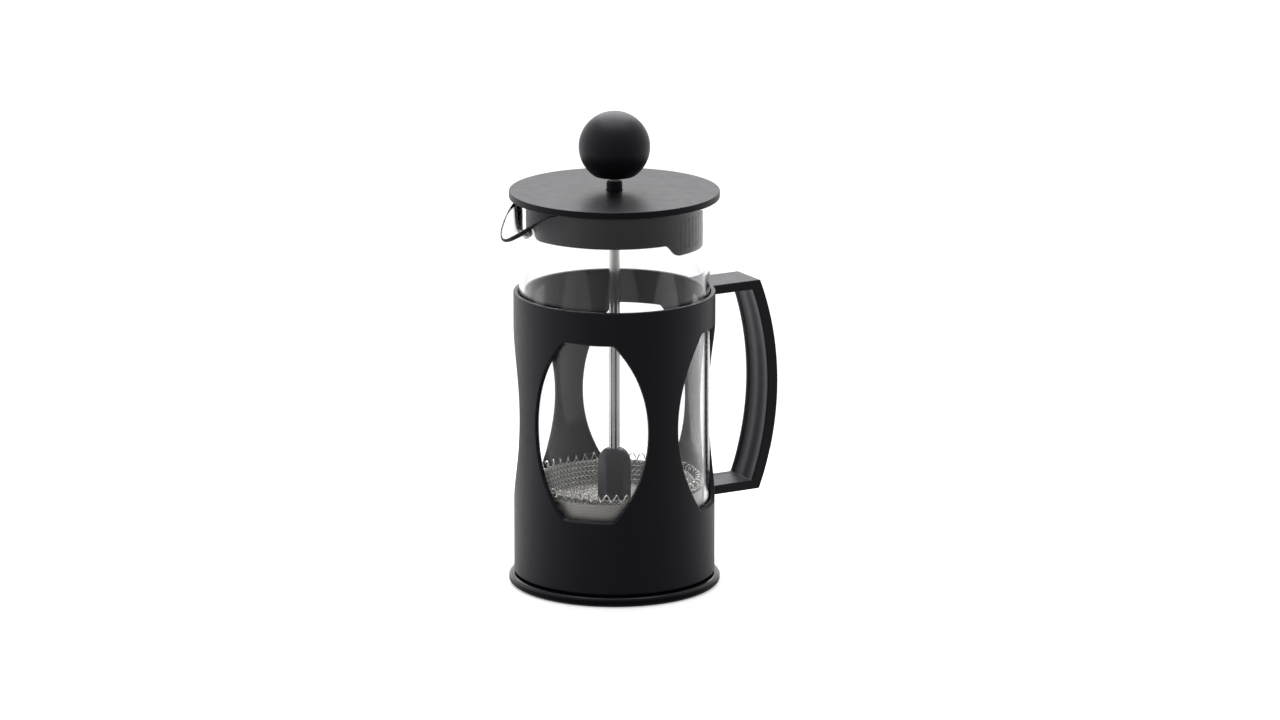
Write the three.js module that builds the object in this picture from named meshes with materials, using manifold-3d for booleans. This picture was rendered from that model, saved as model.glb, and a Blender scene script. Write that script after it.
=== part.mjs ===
// A small french press: a glass beaker in a moulded frame with a D-shaped handle, a flat lid with a strainer
// skirt, and a plunger whose sprung filter slides in the glass.
// Millimetres, +Z up. The origin is on the beaker's axis at the underside of the base. The handle points
// towards +X and the spout towards -X.

import * as THREE from "three";
import { mergeVertices } from "three/addons/utils/BufferGeometryUtils.js";
import Module from "manifold-3d";

const wasm = await Module();
wasm.setup();

// General
const GAP = 0.3; // clearance between pieces that touch on the real object
const WELD = 1e-4; // vertices closer than this are one vertex
const ROUND_SEGMENTS = 60;
const SMALL_SEGMENTS = 24;
const KNOB_SEGMENTS = 32;
const ARC_STEPS = 2; // an arc gets twice as many chords
const RIGHT_ANGLE = Math.PI / 2;

// Glass beaker
const GLASS_R = 35;
const GLASS_WALL = 1.8;
const GLASS_FLOOR = 2.2;
const GLASS_Z = 3.7;
const HEEL_R = 7; // outside radius of the rounded edge between wall and floor
const RIM_Z = 144.6;
const RIM_FLARE = 0.45; // how far the wall leans out at the rim
const FLARE_HEIGHT = 8;
const THROAT_Z = 127; // where the spout starts to leave the wall
const SPOUT_RINGS = 6;
const SPOUT_HALF_ANGLE = THREE.MathUtils.degToRad(38);
const SPOUT_REACH = 12.5;
const SPOUT_DROP = 10.9;
const REACH_POWER = 3.6; // how fast the reach fades round the rim
const DROP_POWER = 6; // the rim swings down in a narrower stretch

// Frame
const FRAME_R = 37;
const FRAME_WALL = 1.7;
const FRAME_BOTTOM_Z = 4.4;
const FRAME_TOP_Z = 109.8;
const FRAME_EDGE = 0.6;
const WINDOW_LOW_Z = 31;
const WINDOW_HIGH_Z = 98;
const WINDOW_FLAT = 9.5; // half width of the straight top and bottom, along the outside
const WINDOW_BELLY = 22.9; // half width at mid-height, along the outside
const WINDOW_DRAFT = 0.0176; // how much the opening's height grows for each mm of radius
const WINDOW_ANGLES = [45, 135, 225, 315].map(THREE.MathUtils.degToRad);
const WEDGE_NEAR = 0.6; // a cutter starts at this share of the wall's radius
const WEDGE_FAR = 1.6; // and ends at this one

// Handle
const HANDLE_TOP_Z = 108.8;
const HANDLE_LOW_Z = 29.1;
const HANDLE_CORNER_X = 57.4;
const HANDLE_REACH = 65.1;
const HANDLE_WIDTH = 16.2;
const HANDLE_BAND = 4.3; // thickness of the bow
const BAR_SHARE = 0.82; // how thick the two bars are next to the bow
const GROOVE_DEPTH = 1.4;
const GROOVE_RIM = 2.2;

// Base cap
const BASE_R = 38.9;
const BASE_FLANGE = 3.7;
const BASE_FLOOR = 3.4;
const SPIGOT_R = 35;
const SPIGOT_WALL = 0.9;
const SPIGOT_TOP_Z = 6.8;

// Lid
const LID_R = 38.5;
const LID_LOW_Z = RIM_Z + GAP;
const LID_TOP_Z = 147.4;
const LID_EDGE = 0.4;
const BUSH_R = 2.9;
const BUSH_TOP_Z = 150.7;
const BUSH_FLANGE_R = 7;
const BUSH_FLANGE = 1.5;
const SKIRT_R = 32.3;
const SKIRT_WALL = 1.5;
const SKIRT_WEB = 1.2;
const SKIRT_LOW_Z = 132.4;
const TAB_LOW_Z = 128;
const TAB_CENTRE = THREE.MathUtils.degToRad(-40);
const TAB_HALF_WIDTH = 25.5; // along the skirt's outside
const TAB_RAMP = 6.3; // length over which the skirt's lower edge swings down to the tab's
const TAB_RAMP_STEPS = 4;
const SLOT_COUNT = 21;
const SLOT_PITCH = THREE.MathUtils.degToRad(4.1);
const SLOT_WIDTH = 1;
const SLOT_LOW_Z = 130;
const SLOT_HIGH_Z = 141.6;

// Plunger
const ROD_R = 2;
const ROD_TOP_Z = 163;
const STUD_R = 1.6; // threaded lower end that the filter plates sit on
const STUD_LOW_Z = 25;
const KNOB_R = 13.05;
const KNOB_CENTRE_Z = 163.5;
const KNOB_FLAT_Z = 152.8;
const INSERT_R = 3.2;
const INSERT_TOP_Z = 164.3;
const BOSS_R = 6.1; // to its corners
const BOSS_LOW_Z = 30.7;
const BOSS_SHOULDER_Z = 44.5;
const BOSS_TOP_Z = 50.4;
const BOSS_SIDES = 6;
const BOSS_TURN = THREE.MathUtils.degToRad(3);

// Filter
const SPRING_R = 31.3; // to the middle of the coil
const SPRING_COIL_R = 1.6;
const SPRING_Z = 39.1;
const SPRING_SIDES = 8;
const DISH_FLOOR_Z = 29.6;
const DISH_FLOOR_R = 25.4;
const DISH_RIM_R = 29.8;
const DISH_RIM_Z = 38.4;
const DISH_SHEET = 0.8;
const SCREEN_FLOOR_Z = 28.7;
const SCREEN_R = 32.3;
const SCREEN_SHEET = 0.6;
const SCREEN_RIM_Z = 37.1;
const CROSS_FLOOR_Z = 27.4;
const CROSS_SHEET = 1;
const CROSS_R = 30.8;
const CROSS_HUB_R = 7.5;
const CROSS_BAND_R = 27.4;
const CROSS_OPENINGS = 8;
const CROSS_SPOKE = 5;
const CROSS_ARC_STEPS = 5; // chords to each arc of an opening
const NUT_R = 5;
const NUT_LOW_Z = 24.3;

/** Turns a closed geometry into a solid that can be joined and cut. */
function solidFrom(geometry) {
  const bare = geometry.clone();
  bare.deleteAttribute("normal");
  bare.deleteAttribute("uv");
  const merged = mergeVertices(bare, WELD);
  return new wasm.Manifold(
    new wasm.Mesh({
      numProp: 3,
      vertProperties: merged.attributes.position.array,
      triVerts: Uint32Array.from(merged.index.array),
    }),
  );
}

/** Turns a solid back into a geometry. */
function geometryFrom(solid) {
  const mesh = solid.getMesh();
  const geometry = new THREE.BufferGeometry();
  geometry.setAttribute("position", new THREE.BufferAttribute(mesh.vertProperties, 3));
  geometry.setIndex(new THREE.BufferAttribute(mesh.triVerts, 1));
  geometry.computeVertexNormals();
  return geometry;
}

/** A path of straight lines through [x, y] pairs; further curves can be added to it. */
function linesThrough(...points) {
  return new THREE.Path(points.map(([x, y]) => new THREE.Vector2(x, y)));
}

/** Revolves a profile of radius and height about the Z axis. */
function turned(profile, segments = ROUND_SEGMENTS, arcSteps = ARC_STEPS) {
  const geometry = new THREE.LatheGeometry(profile.getPoints(arcSteps), segments);
  return geometry.rotateX(RIGHT_ANGLE);
}

/** A tube or ring of rectangular section about the Z axis. */
function ring(innerRadius, outerRadius, lowZ, highZ, segments = ROUND_SEGMENTS) {
  const profile = linesThrough(
    [innerRadius, lowZ],
    [outerRadius, lowZ],
    [outerRadius, highZ],
    [innerRadius, highZ],
    [innerRadius, lowZ],
  );
  return turned(profile, segments);
}

/** A solid cylinder about the Z axis. */
function cylinder(radius, lowZ, highZ, segments = ROUND_SEGMENTS) {
  return turned(linesThrough([0, lowZ], [radius, lowZ], [radius, highZ], [0, highZ]), segments);
}

/** A plate in the XZ plane, centred on Y = 0 and as thick as width. */
function plate(shape, width) {
  const geometry = new THREE.ExtrudeGeometry(shape, { depth: width, bevelEnabled: false });
  return geometry.rotateX(RIGHT_ANGLE).translate(0, width / 2, 0);
}

/**
 * A cutter that shines out from the axis: the outline, drawn on the unrolled cylinder of the given radius,
 * becomes a wedge with radial sides. Heights grow away from middleZ by draft for each mm of radius.
 */
function radialWedge(outline, radius, centreAngle, middleZ = 0, draft = 0) {
  const positions = [];
  for (const r of [radius * WEDGE_NEAR, radius * WEDGE_FAR]) {
    const growth = 1 + draft * (r - radius);
    for (const { x, y } of outline) {
      const angle = centreAngle + x / radius;
      positions.push(r * Math.cos(angle), r * Math.sin(angle), middleZ + (y - middleZ) * growth);
    }
  }
  const count = outline.length;
  const index = [];
  for (const [a, b, c] of THREE.ShapeUtils.triangulateShape(outline, [])) {
    index.push(a, c, b, a + count, b + count, c + count);
  }
  for (let i = 0; i < count; i += 1) {
    const next = (i + 1) % count;
    index.push(i, next, next + count, i, next + count, i + count);
  }
  const geometry = new THREE.BufferGeometry();
  geometry.setAttribute("position", new THREE.Float32BufferAttribute(positions, 3));
  geometry.setIndex(index);
  return geometry;
}

/** Points along a straight line, without its last one. */
function straight(fromX, toX, y, steps) {
  return Array.from(
    { length: steps },
    (_, i) => new THREE.Vector2(THREE.MathUtils.lerp(fromX, toX, i / steps), y),
  );
}

/** One side of the window: an arc that bulges to WINDOW_BELLY, from one height to the other, without its end. */
function bulgingSide(side, fromZ, toZ, steps) {
  const middleZ = (fromZ + toZ) / 2;
  const halfHeight = Math.abs(toZ - fromZ) / 2;
  const bulge = WINDOW_BELLY - WINDOW_FLAT;
  const radius = (halfHeight ** 2 + bulge ** 2) / (2 * bulge);
  const sweep = Math.asin(halfHeight / radius);
  return Array.from({ length: steps }, (_, i) => {
    const angle = THREE.MathUtils.lerp(-sweep, sweep, i / steps) * Math.sign(toZ - fromZ);
    const across = WINDOW_BELLY - radius * (1 - Math.cos(angle));
    return new THREE.Vector2(side * across, middleZ + radius * Math.sin(angle));
  });
}

/** The window's outline on the unrolled frame, anticlockwise. */
function windowOutline() {
  const flatSteps = 4;
  const sideSteps = 12;
  return [
    ...straight(-WINDOW_FLAT, WINDOW_FLAT, WINDOW_LOW_Z, flatSteps),
    ...bulgingSide(1, WINDOW_LOW_Z, WINDOW_HIGH_Z, sideSteps),
    ...straight(WINDOW_FLAT, -WINDOW_FLAT, WINDOW_HIGH_Z, flatSteps),
    ...bulgingSide(-1, WINDOW_HIGH_Z, WINDOW_LOW_Z, sideSteps),
  ];
}

/** Straight round cage with four barrel-shaped windows between its posts. */
function makeFrame() {
  const inner = FRAME_R - FRAME_WALL;
  const profile = linesThrough(
    [inner, FRAME_BOTTOM_Z],
    [FRAME_R, FRAME_BOTTOM_Z],
    [FRAME_R, FRAME_TOP_Z - FRAME_EDGE],
    [FRAME_R - FRAME_EDGE, FRAME_TOP_Z],
    [inner + FRAME_EDGE / 2, FRAME_TOP_Z],
    [inner, FRAME_TOP_Z - FRAME_EDGE / 2],
    [inner, FRAME_BOTTOM_Z],
  );
  const outline = windowOutline();
  const middleZ = (WINDOW_LOW_Z + WINDOW_HIGH_Z) / 2;
  let frame = solidFrom(turned(profile));
  for (const angle of WINDOW_ANGLES) {
    const opening = radialWedge(outline, FRAME_R, angle, middleZ, WINDOW_DRAFT);
    frame = frame.subtract(solidFrom(opening));
  }
  return geometryFrom(frame);
}

/** The D of the handle, its bow drawn in from its outside by inset, as a shape of X and Z. */
function handleShape(inset) {
  const middleZ = (HANDLE_TOP_Z + HANDLE_LOW_Z) / 2;
  const halfHeight = (HANDLE_TOP_Z - HANDLE_LOW_Z) / 2;
  const bulge = HANDLE_REACH - HANDLE_CORNER_X;
  const bowRadius = (halfHeight ** 2 + bulge ** 2) / (2 * bulge);
  const bowCentreX = HANDLE_REACH - bowRadius;
  const barInset = inset * BAR_SHARE;
  const sweep = Math.asin((halfHeight - barInset) / (bowRadius - inset));
  const startX = FRAME_R / 2;
  const shape = new THREE.Shape();
  shape.moveTo(startX, HANDLE_TOP_Z - barInset);
  shape.lineTo(startX, HANDLE_LOW_Z + barInset);
  shape.absarc(bowCentreX, middleZ, bowRadius - inset, -sweep, sweep);
  return shape;
}

/** D-shaped strap handle with a shallow groove along its inside, ending just short of the frame. */
function makeHandle() {
  const through = HANDLE_WIDTH + 2 * GAP;
  const grooveWidth = HANDLE_WIDTH - 2 * GROOVE_RIM;
  const clearance = FRAME_R + GAP;
  const handle = solidFrom(plate(handleShape(0), HANDLE_WIDTH))
    .subtract(solidFrom(plate(handleShape(HANDLE_BAND), through)))
    .subtract(solidFrom(plate(handleShape(HANDLE_BAND - GROOVE_DEPTH), grooveWidth)))
    .subtract(solidFrom(cylinder(clearance, 0, FRAME_TOP_Z + GAP)));
  return geometryFrom(handle);
}

/** Round base with a rolled flange, and a low spigot that locates the frame. */
function makeBaseCap() {
  const roll = BASE_FLANGE / 2;
  const profile = linesThrough([0, 0], [BASE_R - roll, 0]);
  profile.absarc(BASE_R - roll, roll, roll, -RIGHT_ANGLE, RIGHT_ANGLE);
  profile.lineTo(SPIGOT_R, BASE_FLANGE);
  profile.lineTo(SPIGOT_R, SPIGOT_TOP_Z);
  profile.lineTo(SPIGOT_R - SPIGOT_WALL, SPIGOT_TOP_Z);
  profile.lineTo(SPIGOT_R - SPIGOT_WALL, BASE_FLOOR);
  profile.lineTo(0, BASE_FLOOR);
  return turned(profile);
}

/** Inside and outside of the straight beaker, before the spout is drawn out. */
function glassProfile() {
  const inner = GLASS_R - GLASS_WALL;
  const roll = GLASS_WALL / 2;
  const rollCentreX = GLASS_R + RIM_FLARE - roll;
  const profile = linesThrough([0, GLASS_Z], [GLASS_R - HEEL_R, GLASS_Z]);
  profile.absarc(GLASS_R - HEEL_R, GLASS_Z + HEEL_R, HEEL_R, -RIGHT_ANGLE, 0);
  const heights = Array.from({ length: SPOUT_RINGS }, (_, i) =>
    THREE.MathUtils.lerp(THROAT_Z, RIM_Z - roll, i / SPOUT_RINGS),
  );
  heights.forEach((z) => profile.lineTo(GLASS_R + flareAt(z), z));
  profile.absarc(rollCentreX, RIM_Z - roll, roll, 0, Math.PI);
  heights.reverse().forEach((z) => profile.lineTo(inner + flareAt(z), z));
  profile.lineTo(inner, GLASS_Z + HEEL_R);
  profile.absarc(GLASS_R - HEEL_R, GLASS_Z + HEEL_R, HEEL_R - GLASS_WALL, 0, -RIGHT_ANGLE, true);
  profile.lineTo(GLASS_R - HEEL_R - GLASS_FLOOR, GLASS_Z + GLASS_FLOOR);
  profile.lineTo(0, GLASS_Z + GLASS_FLOOR);
  return profile;
}

/** How far the wall leans out near the rim. */
function flareAt(z) {
  return RIM_FLARE * THREE.MathUtils.smoothstep(z, RIM_Z - FLARE_HEIGHT, RIM_Z);
}

/** Moves one point of the straight beaker, given as radius and height, to its place on the spout. */
function drawnOut(radius, z, angleFromSpout) {
  const span = RIM_Z - THROAT_Z;
  const s = (z - THROAT_Z) / span;
  if (s <= 0 || Math.abs(angleFromSpout) >= SPOUT_HALF_ANGLE) return [radius, z];
  const nearness = Math.cos((RIGHT_ANGLE * angleFromSpout) / SPOUT_HALF_ANGLE);
  const middle = GLASS_R - GLASS_WALL / 2;
  const offset = radius - middle;
  const outward = SPOUT_REACH * nearness ** REACH_POWER * s ** 2;
  const down = SPOUT_DROP * nearness ** DROP_POWER * s ** 3;
  const tangent = new THREE.Vector2((2 * outward) / s, span - (3 * down) / s).normalize();
  return [middle + outward + tangent.y * offset, z - down - tangent.x * offset];
}

/** Round beaker with a rolled rim and a drooping pouring spout. */
function makeGlassBeaker() {
  const geometry = turned(glassProfile());
  const position = geometry.getAttribute("position");
  for (let i = 0; i < position.count; i += 1) {
    const x = position.getX(i);
    const y = position.getY(i);
    const angleFromSpout = Math.atan2(y, -x);
    const [radius, z] = drawnOut(Math.hypot(x, y), position.getZ(i), angleFromSpout);
    position.setXYZ(i, -radius * Math.cos(angleFromSpout), radius * Math.sin(angleFromSpout), z);
  }
  return geometry;
}

/** Flat round lid with a crisp top edge and a hole for the guide bush. */
function makeLidCover() {
  const hole = BUSH_R + GAP;
  const profile = linesThrough(
    [hole, LID_LOW_Z],
    [LID_R - LID_EDGE, LID_LOW_Z],
    [LID_R, LID_LOW_Z + LID_EDGE],
    [LID_R, LID_TOP_Z - LID_EDGE],
    [LID_R - LID_EDGE, LID_TOP_Z],
    [hole, LID_TOP_Z],
    [hole, LID_LOW_Z],
  );
  return turned(profile);
}

/** Outline of the strainer tab on the unrolled skirt, whose lower edge swings down to it on both sides. */
function tabOutline() {
  const highZ = (SKIRT_LOW_Z + RIM_Z) / 2;
  const side = TAB_HALF_WIDTH - TAB_RAMP;
  const bend = TAB_HALF_WIDTH - TAB_RAMP / 2;
  const path = linesThrough(
    [TAB_HALF_WIDTH, highZ],
    [-TAB_HALF_WIDTH, highZ],
    [-TAB_HALF_WIDTH, SKIRT_LOW_Z],
  );
  path.bezierCurveTo(-bend, SKIRT_LOW_Z, -bend, TAB_LOW_Z, -side, TAB_LOW_Z);
  straight(-side, side, TAB_LOW_Z, 8).forEach(({ x, y }) => path.lineTo(x, y));
  path.lineTo(side, TAB_LOW_Z);
  path.bezierCurveTo(bend, TAB_LOW_Z, bend, SKIRT_LOW_Z, TAB_HALF_WIDTH, SKIRT_LOW_Z);
  return path.getPoints(TAB_RAMP_STEPS);
}

/** One upright slot through the strainer tab. */
function strainerSlot(angle) {
  const height = SLOT_HIGH_Z - SLOT_LOW_Z;
  const slot = new THREE.BoxGeometry(4 * SKIRT_WALL, SLOT_WIDTH, height);
  slot.translate(SKIRT_R - SKIRT_WALL / 2, 0, SLOT_LOW_Z + height / 2);
  return slot.rotateZ(angle);
}

/** Skirt that hangs from a thin web into the glass, with a deeper slotted tab on one side. */
function makeLidStrainer() {
  const inner = SKIRT_R - SKIRT_WALL;
  const webTop = RIM_Z;
  const band = solidFrom(ring(inner, SKIRT_R, TAB_LOW_Z, SKIRT_LOW_Z + SKIRT_WEB));
  const wedge = radialWedge(tabOutline(), SKIRT_R, TAB_CENTRE);
  const tab = band.intersect(solidFrom(wedge));
  let strainer = solidFrom(ring(inner, SKIRT_R, SKIRT_LOW_Z, webTop))
    .add(solidFrom(ring(BUSH_R + GAP, inner + SKIRT_WALL / 2, webTop - SKIRT_WEB, webTop)))
    .add(tab);
  for (let i = 0; i < SLOT_COUNT; i += 1) {
    const angle = TAB_CENTRE + (i - (SLOT_COUNT - 1) / 2) * SLOT_PITCH;
    strainer = strainer.subtract(solidFrom(strainerSlot(angle)));
  }
  return geometryFrom(strainer);
}

/** Flanged sleeve that guides the rod and clamps the strainer under the lid. */
function makeRodGuideBush() {
  const bore = ROD_R + GAP;
  const flangeTop = RIM_Z - SKIRT_WEB - GAP;
  const profile = linesThrough(
    [bore, flangeTop - BUSH_FLANGE],
    [BUSH_FLANGE_R, flangeTop - BUSH_FLANGE],
    [BUSH_FLANGE_R, flangeTop],
    [BUSH_R, flangeTop],
    [BUSH_R, BUSH_TOP_Z],
    [bore, BUSH_TOP_Z],
    [bore, flangeTop - BUSH_FLANGE],
  );
  return turned(profile, SMALL_SEGMENTS);
}

/** Ball knob with a flat underside and a blind hole for its threaded insert. */
function makeKnob() {
  const hole = INSERT_R + GAP;
  const lowAngle = Math.asin((KNOB_FLAT_Z - KNOB_CENTRE_Z) / KNOB_R);
  const holeTop = INSERT_TOP_Z + GAP;
  const profile = linesThrough([0, holeTop], [hole, holeTop], [hole, KNOB_FLAT_Z]);
  profile.absarc(0, KNOB_CENTRE_Z, KNOB_R, lowAngle, RIGHT_ANGLE);
  return turned(profile, KNOB_SEGMENTS, KNOB_SEGMENTS / 4);
}

/** Threaded sleeve moulded into the knob. */
function makeKnobInsert() {
  return ring(ROD_R + GAP, INSERT_R, KNOB_FLAT_Z + GAP, INSERT_TOP_Z, SMALL_SEGMENTS);
}

/** Straight rod that steps down to a thinner threaded stud for the filter. */
function makePlungerRod() {
  const profile = linesThrough(
    [0, STUD_LOW_Z],
    [STUD_R, STUD_LOW_Z],
    [STUD_R, BOSS_LOW_Z + GAP],
    [ROD_R, BOSS_LOW_Z + GAP],
    [ROD_R, ROD_TOP_Z],
    [0, ROD_TOP_Z],
  );
  return turned(profile, SMALL_SEGMENTS);
}

/** Hexagonal sleeve above the filter, with a domed top. */
function makeFilterBoss() {
  const bore = ROD_R + GAP;
  const domeHeight = BOSS_TOP_Z - BOSS_SHOULDER_Z;
  const profile = linesThrough([bore, BOSS_LOW_Z], [BOSS_R, BOSS_LOW_Z], [BOSS_R, BOSS_SHOULDER_Z]);
  profile.absellipse(bore, BOSS_SHOULDER_Z, BOSS_R - bore, domeHeight, 0, RIGHT_ANGLE);
  profile.lineTo(bore, BOSS_LOW_Z);
  const hexagon = cylinder(BOSS_R, BOSS_LOW_Z - GAP, BOSS_TOP_Z + GAP, BOSS_SIDES);
  hexagon.rotateZ(BOSS_TURN);
  return geometryFrom(solidFrom(turned(profile, SMALL_SEGMENTS)).intersect(solidFrom(hexagon)));
}

/** Dished plate that carries the edge spring round its rim. */
function makeSpiralPlate() {
  const hole = STUD_R + GAP;
  const top = DISH_FLOOR_Z + DISH_SHEET;
  const profile = linesThrough(
    [hole, DISH_FLOOR_Z],
    [DISH_FLOOR_R, DISH_FLOOR_Z],
    [DISH_RIM_R, DISH_RIM_Z],
    [DISH_RIM_R - DISH_SHEET, DISH_RIM_Z],
    [DISH_FLOOR_R - DISH_SHEET / 2, top],
    [hole, top],
    [hole, DISH_FLOOR_Z],
  );
  return turned(profile);
}

/** The coil spring round the filter's edge, as the ring that it fills. */
function makeEdgeSpring() {
  const torus = new THREE.TorusGeometry(SPRING_R, SPRING_COIL_R, SPRING_SIDES, ROUND_SEGMENTS);
  return torus.translate(0, 0, SPRING_Z);
}

/** Woven screen with a turned-up rim, under the dished plate. */
function makeMeshScreen() {
  const hole = STUD_R + GAP;
  const top = SCREEN_FLOOR_Z + SCREEN_SHEET;
  const profile = linesThrough(
    [hole, SCREEN_FLOOR_Z],
    [SCREEN_R, SCREEN_FLOOR_Z],
    [SCREEN_R, SCREEN_RIM_Z],
    [SCREEN_R - SCREEN_SHEET, SCREEN_RIM_Z],
    [SCREEN_R - SCREEN_SHEET, top],
    [hole, top],
    [hole, SCREEN_FLOOR_Z],
  );
  return turned(profile);
}

/** One opening of the cross plate, between two spokes, as a shape of X and Y. */
function crossOpening() {
  const low = Math.asin(CROSS_SPOKE / 2 / CROSS_HUB_R);
  const high = Math.asin(CROSS_SPOKE / 2 / CROSS_BAND_R);
  const pitch = (2 * Math.PI) / CROSS_OPENINGS;
  const shape = new THREE.Shape();
  shape.absarc(0, 0, CROSS_BAND_R, high, pitch - high);
  shape.absarc(0, 0, CROSS_HUB_R, pitch - low, low, true);
  return shape;
}

/** Stamped plate of spokes that holds the screen up against the dished plate. */
function makeCrossPlate() {
  const options = { depth: 3 * CROSS_SHEET, bevelEnabled: false, curveSegments: CROSS_ARC_STEPS };
  let cross = solidFrom(ring(STUD_R + GAP, CROSS_R, CROSS_FLOOR_Z, CROSS_FLOOR_Z + CROSS_SHEET));
  for (let i = 0; i < CROSS_OPENINGS; i += 1) {
    const opening = new THREE.ExtrudeGeometry(crossOpening(), options);
    opening.translate(0, 0, CROSS_FLOOR_Z - CROSS_SHEET);
    opening.rotateZ((2 * Math.PI * i) / CROSS_OPENINGS);
    cross = cross.subtract(solidFrom(opening));
  }
  return geometryFrom(cross);
}

/** Threaded collar that screws onto the rod's stud and clamps the plates. */
function makeFilterNut() {
  return ring(STUD_R + GAP, NUT_R, NUT_LOW_Z, CROSS_FLOOR_Z - GAP, SMALL_SEGMENTS);
}

const plasticBlack = { color: 0x1c1c1e, roughness: 0.5, metalness: 0 };
const plasticGloss = { color: 0x111113, roughness: 0.2, metalness: 0 };
const plasticGrey = { color: 0x4a4a4d, roughness: 0.55, metalness: 0 };
const glassClear = { color: 0xf4f8f8, roughness: 0.02, metalness: 0, transparent: true, opacity: 0.3 };
const steelBright = { color: 0xc9c6c0, roughness: 0.25, metalness: 1 };
const steelWoven = { color: 0x9d9890, roughness: 0.45, metalness: 1 };
const brass = { color: 0xb08d4a, roughness: 0.35, metalness: 1 };

const pieces = [
  ["frame", makeFrame(), plasticBlack],
  ["handle", makeHandle(), plasticBlack],
  ["base_cap", makeBaseCap(), plasticGloss],
  ["glass_beaker", makeGlassBeaker(), glassClear],
  ["lid_cover", makeLidCover(), plasticBlack],
  ["lid_strainer", makeLidStrainer(), plasticBlack],
  ["rod_guide_bush", makeRodGuideBush(), plasticBlack],
  ["knob", makeKnob(), plasticBlack],
  ["knob_insert", makeKnobInsert(), brass],
  ["plunger_rod", makePlungerRod(), steelBright],
  ["filter_boss", makeFilterBoss(), plasticGrey],
  ["spiral_plate", makeSpiralPlate(), steelBright],
  ["edge_spring", makeEdgeSpring(), steelBright],
  ["mesh_screen", makeMeshScreen(), steelWoven],
  ["cross_plate", makeCrossPlate(), steelBright],
  ["filter_nut", makeFilterNut(), steelBright],
];

const press = new THREE.Group();
for (const [name, geometry, finish] of pieces) {
  const mesh = new THREE.Mesh(geometry, new THREE.MeshStandardMaterial(finish));
  mesh.name = name;
  press.add(mesh);
}

export default press;
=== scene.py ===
import math

import bmesh
import bpy
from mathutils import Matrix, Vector


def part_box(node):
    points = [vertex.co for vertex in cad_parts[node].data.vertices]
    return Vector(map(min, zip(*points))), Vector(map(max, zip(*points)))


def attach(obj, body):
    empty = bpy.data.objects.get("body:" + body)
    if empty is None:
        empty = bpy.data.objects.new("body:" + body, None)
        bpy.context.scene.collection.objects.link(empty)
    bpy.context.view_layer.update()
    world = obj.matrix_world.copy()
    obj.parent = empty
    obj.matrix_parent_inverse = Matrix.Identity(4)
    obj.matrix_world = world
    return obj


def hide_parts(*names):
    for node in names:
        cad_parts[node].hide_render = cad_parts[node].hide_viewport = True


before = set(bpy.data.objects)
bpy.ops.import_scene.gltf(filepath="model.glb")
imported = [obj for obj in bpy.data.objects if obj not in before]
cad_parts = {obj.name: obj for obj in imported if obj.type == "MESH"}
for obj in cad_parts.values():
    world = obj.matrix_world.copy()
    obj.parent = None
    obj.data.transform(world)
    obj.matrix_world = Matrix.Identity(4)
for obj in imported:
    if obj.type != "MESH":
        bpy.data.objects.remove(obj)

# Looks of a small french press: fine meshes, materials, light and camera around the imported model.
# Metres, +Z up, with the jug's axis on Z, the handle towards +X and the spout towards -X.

MM = 0.001
WELD = 1e-7
TURN = 2 * math.pi
ROUND_SEGMENTS = 144
SMALL_SEGMENTS = 64
# Radii of a soft and a crisp edge, and the gap that stands in for the contact of two fastened pieces.
SOFT_EDGE = 0.3 * MM
CRISP_EDGE = 0.2 * MM
FASTENED_GAP = 0.3 * MM
# Bore of the screen, the spoked plate and the nut, round the rod's threaded stud.
STUD_HOLE = 1.9 * MM
STUD_HOLE_STEPS = 32

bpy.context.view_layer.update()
scene = bpy.context.scene


def radius_of(node):
    """Outer radius of a CAD node that is round about the Z axis."""
    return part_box(node)[1].y


def heights_of(node):
    """Lowest and highest point of a CAD node."""
    low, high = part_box(node)
    return low.z, high.z


# ---------------- outlines

def spaced(start, end, steps):
    """Numbers from start to end, without the last one."""
    return [start + (end - start) * i / steps for i in range(steps)]


def line(start, end, steps):
    """Points from start to end, without the last one."""
    return [tuple(a + (b - a) * i / steps for a, b in zip(start, end)) for i in range(steps)]


def arc(centre, radius, start, end, steps):
    """Points on an arc from one angle to another, both ends included."""
    angles = [start + (end - start) * i / steps for i in range(steps + 1)]
    return [(centre[0] + radius * math.cos(a), centre[1] + radius * math.sin(a)) for a in angles]


# The rounding of a corner takes up at most this share of each side.
MOST_ROUNDED = 0.45


def fillet(before, corner, after, radius, steps, hold):
    """The points that round one corner, with a holding point each side to keep the flats flat."""
    p, u, v = Vector(corner), Vector(before) - Vector(corner), Vector(after) - Vector(corner)
    reach = MOST_ROUNDED * min(u.length, v.length)
    u.normalize()
    v.normalize()
    half = u.angle(v) / 2
    length = min(radius / math.tan(half), reach)
    radius = length * math.tan(half)
    centre = p + (u + v).normalized() * radius / math.sin(half)
    start, end = p + u * length - centre, p + v * length - centre
    sweep = start.angle(end)
    points = [tuple(p + u * (length + hold))] if hold else []
    for i in range(steps + 1):
        t = i / steps
        mix = start * math.sin((1 - t) * sweep) + end * math.sin(t * sweep)
        points.append(tuple(centre + mix / math.sin(sweep)))
    if hold:
        points.append(tuple(p + v * (length + hold)))
    return points


def rounded(corners, steps=4, closed=False, hold_share=0.5):
    """A line through corners of (x, y, radius), each one rounded.

    A corner of radius 0 stays sharp, and so does each end of an open line."""
    count = len(corners)
    points = []
    for i, (x, y, radius) in enumerate(corners):
        if radius == 0 or (not closed and i in (0, count - 1)):
            points.append((x, y))
            continue
        before = corners[i - 1][:2]
        after = corners[(i + 1) % count][:2]
        points += fillet(before, (x, y), after, radius, steps, radius * hold_share)
    return points


# ---------------- meshes

def add_face(bm, *corners):
    """Adds a face, leaving out a corner that repeats, and nothing where fewer than three are left."""
    kept = []
    for v in corners:
        if v not in kept:
            kept.append(v)
    if len(kept) >= 3:
        bm.faces.new(kept)


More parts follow.
